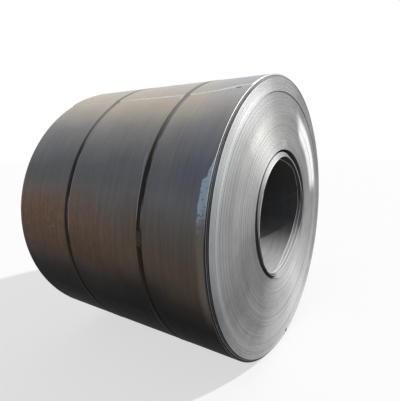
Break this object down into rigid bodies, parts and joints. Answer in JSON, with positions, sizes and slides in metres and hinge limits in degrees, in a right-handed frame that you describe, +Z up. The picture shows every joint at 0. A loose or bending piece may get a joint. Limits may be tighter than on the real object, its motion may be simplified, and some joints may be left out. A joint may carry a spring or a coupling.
{
  "type": "steel coil",
  "caption": "Hot-rolled steel strip wound into a heavy coil with an open bore, lying on its side and tied round with flat steel straps",
  "frame": {"origin": "on the floor, under the middle of the coil", "axes": "+Z up, the bore lies along Y with the coil's front end towards -Y, and the side with the strip's tail is towards -X"},
  "size_m": [1.7761, 1.4205, 1.7768],
  "materials": {
    "mill_scale_steel": "hot-rolled mill scale, bare sheared edges on the ends",
    "strap_steel": "black painted and waxed strap, semi-gloss",
    "seal_steel": "dark painted steel, worn at the crimps"
  },
  "bodies": {
    "root": {"coil": "mill_scale_steel", "strap_front": "strap_steel", "strap_rear": "strap_steel", "seal_front": "seal_steel", "seal_rear": "seal_steel"}
  },
  "joints": []
}
